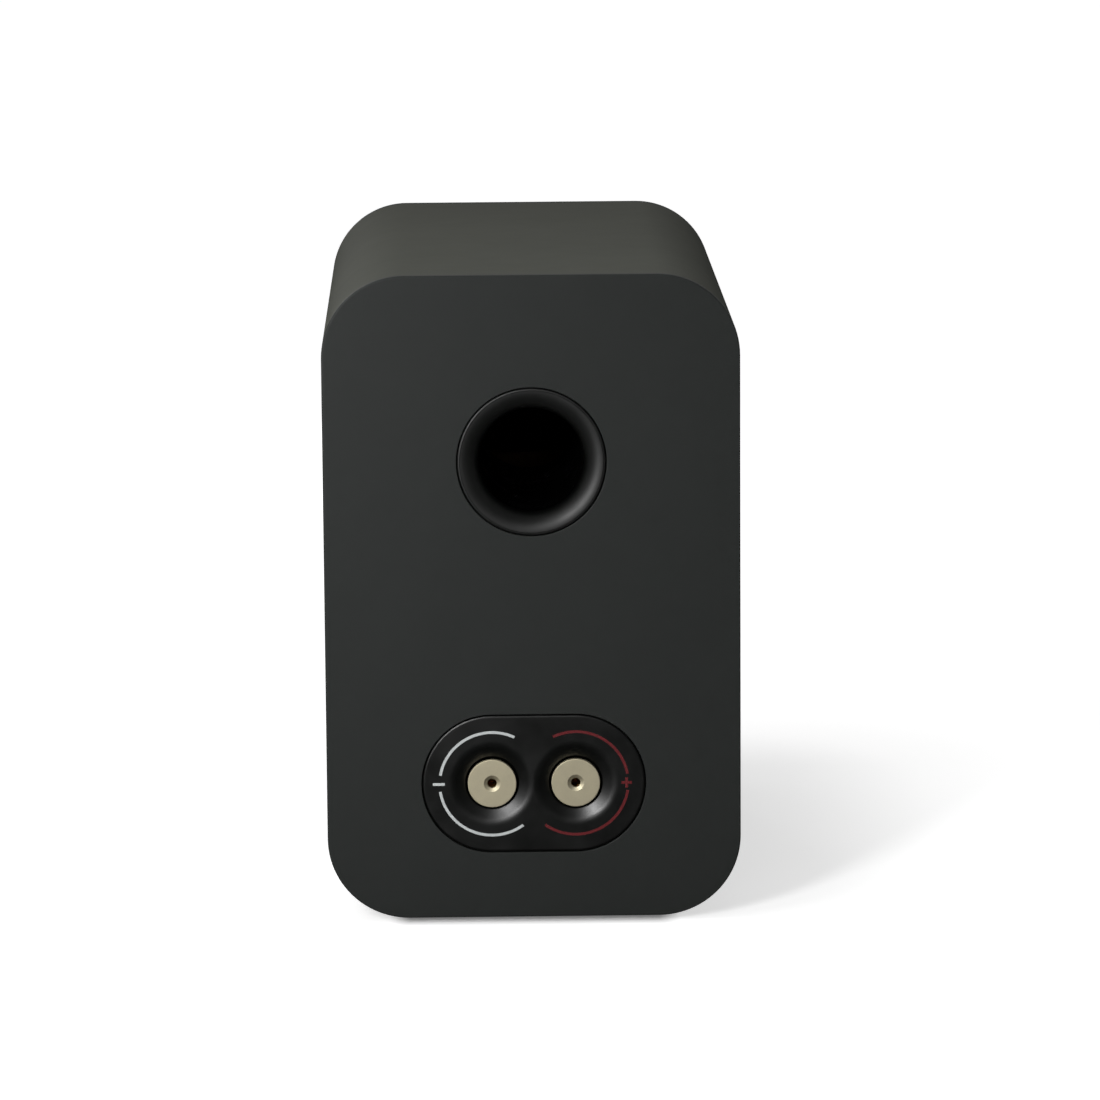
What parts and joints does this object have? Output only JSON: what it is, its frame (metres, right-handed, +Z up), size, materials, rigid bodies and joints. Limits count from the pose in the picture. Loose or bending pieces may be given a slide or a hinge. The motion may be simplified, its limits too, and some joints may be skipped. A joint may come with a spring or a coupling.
{
  "type": "bookshelf loudspeaker",
  "caption": "Passive two-way bookshelf loudspeaker: round-cornered box, cone woofer, dome tweeter, flared rear reflex port and dished binding-post tray with screw-down knobs.",
  "frame": {"origin": "middle of the whole loudspeaker's outline in plan, on the surface its feet stand on", "axes": "+Z up; +Y towards the rear panel with the port and terminals, so the woofer and tweeter face -Y; +X to the right seen from the front"},
  "size_m": [0.18, 0.2826, 0.284],
  "materials": {
    "wrap_foil": "fine-grained dark olive-grey foil over board",
    "panel_foil": "fine-grained charcoal paint over board",
    "raw_board": "bare fibreboard",
    "foot_rubber": "matt",
    "black_plastic": "satin moulded",
    "grey_plastic": "fine-textured",
    "foam": "open-cell foam",
    "nickel": "satin champagne nickel",
    "brass": "bright",
    "steel": "zinc plated",
    "black_steel": "black powder coat",
    "satin_trim": "satin, anodised dark grey",
    "ferrite": "bare sintered ferrite",
    "copper": "enamelled copper winding",
    "cone_paper": "woven, coated",
    "surround_rubber": "matt",
    "silk": "coated fabric",
    "spider_cloth": "resin-stiffened corrugated cloth",
    "circuit_board": "printed board",
    "capacitor_film": "wrapped film",
    "cement": "cement block",
    "cable_sheath": "PVC sheath"
  },
  "bodies": {
    "cabinet": {"cabinet_wrap": "wrap_foil", "crossover_board": "circuit_board", "damping_foam": "foam", "foot_front_left": "foot_rubber", "foot_front_right": "foot_rubber", "foot_rear_left": "foot_rubber", "foot_rear_right": "foot_rubber", "front_baffle": "panel_foil", "input_cable": "cable_sheath", "post_nut_negative": "steel", "post_nut_positive": "steel", "post_stud_negative": "brass", "post_stud_positive": "brass", "rear_panel": "panel_foil", "reflex_port": "black_plastic", "solder_tag_negative": "brass", "solder_tag_positive": "brass", "terminal_gasket": "foam", "terminal_tray": "black_plastic", "tweeter_cable": "cable_sheath", "tweeter_capacitor": "capacitor_film", "tweeter_faceplate": "grey_plastic", "tweeter_inductor": "copper", "tweeter_isolation_ring": "foot_rubber", "tweeter_magnet": "ferrite", "tweeter_rear_chamber": "black_plastic", "tweeter_resistor": "cement", "tweeter_screw_1": "black_steel", "tweeter_screw_2": "black_steel", "tweeter_screw_3": "black_steel", "tweeter_surround": "silk", "tweeter_top_plate": "steel", "tweeter_trim_ring": "satin_trim", "tweeter_yoke": "steel", "window_brace": "raw_board", "woofer_basket": "black_steel", "woofer_cable": "cable_sheath", "woofer_capacitor": "capacitor_film", "woofer_gasket": "foam", "woofer_inductor": "copper", "woofer_magnet": "ferrite", "woofer_screw_1": "black_steel", "woofer_screw_2": "black_steel", "woofer_screw_3": "black_steel", "woofer_screw_4": "black_steel", "woofer_spider": "spider_cloth", "woofer_surround": "surround_rubber", "woofer_top_plate": "steel", "woofer_trim_ring": "satin_trim", "woofer_yoke": "steel"},
    "negative_clamp": {"clamp_washer_negative": "nickel"},
    "negative_knob": {"knob_cap_negative": "nickel", "knob_body_negative": "black_plastic"},
    "positive_clamp": {"clamp_washer_positive": "nickel"},
    "positive_knob": {"knob_cap_positive": "nickel", "knob_body_positive": "black_plastic"},
    "woofer_piston": {"woofer_cone": "cone_paper", "woofer_voice_coil": "copper"},
    "tweeter_piston": {"tweeter_dome": "silk", "tweeter_voice_coil": "copper"}
  },
  "joints": [
    {"name": "negative_clamp_travel", "type": "slide", "parent": "cabinet", "child": "negative_clamp", "axis": [0, 1, 0], "range_m": [0, 0.004]},
    {"name": "negative_knob_turn", "type": "hinge", "parent": "negative_clamp", "child": "negative_knob", "pos_m": [0.0182, 0.1363, 0.0615], "axis": [0, 1, 0], "range_deg": [0, 1440]},
    {"name": "positive_clamp_travel", "type": "slide", "parent": "cabinet", "child": "positive_clamp", "axis": [0, 1, 0], "range_m": [0, 0.004]},
    {"name": "positive_knob_turn", "type": "hinge", "parent": "positive_clamp", "child": "positive_knob", "pos_m": [-0.0182, 0.1363, 0.0615], "axis": [0, 1, 0], "range_deg": [0, 1440]},
    {"name": "woofer_piston_travel", "type": "slide", "parent": "cabinet", "child": "woofer_piston", "axis": [0, -1, 0], "range_m": [-0.004, 0.004], "stiffness_N_per_m": 1100, "deforming": ["woofer_surround", "woofer_spider"]},
    {"name": "tweeter_piston_travel", "type": "slide", "parent": "cabinet", "child": "tweeter_piston", "axis": [0, -1, 0], "range_m": [-0.0004, 0.0004], "stiffness_N_per_m": 3000, "deforming": ["tweeter_surround"]}
  ],
  "couplings": [
    {"joint": "negative_knob_turn", "follows": "negative_clamp_travel", "rad_per_m": 6283.2},
    {"joint": "positive_knob_turn", "follows": "positive_clamp_travel", "rad_per_m": 6283.2}
  ]
}
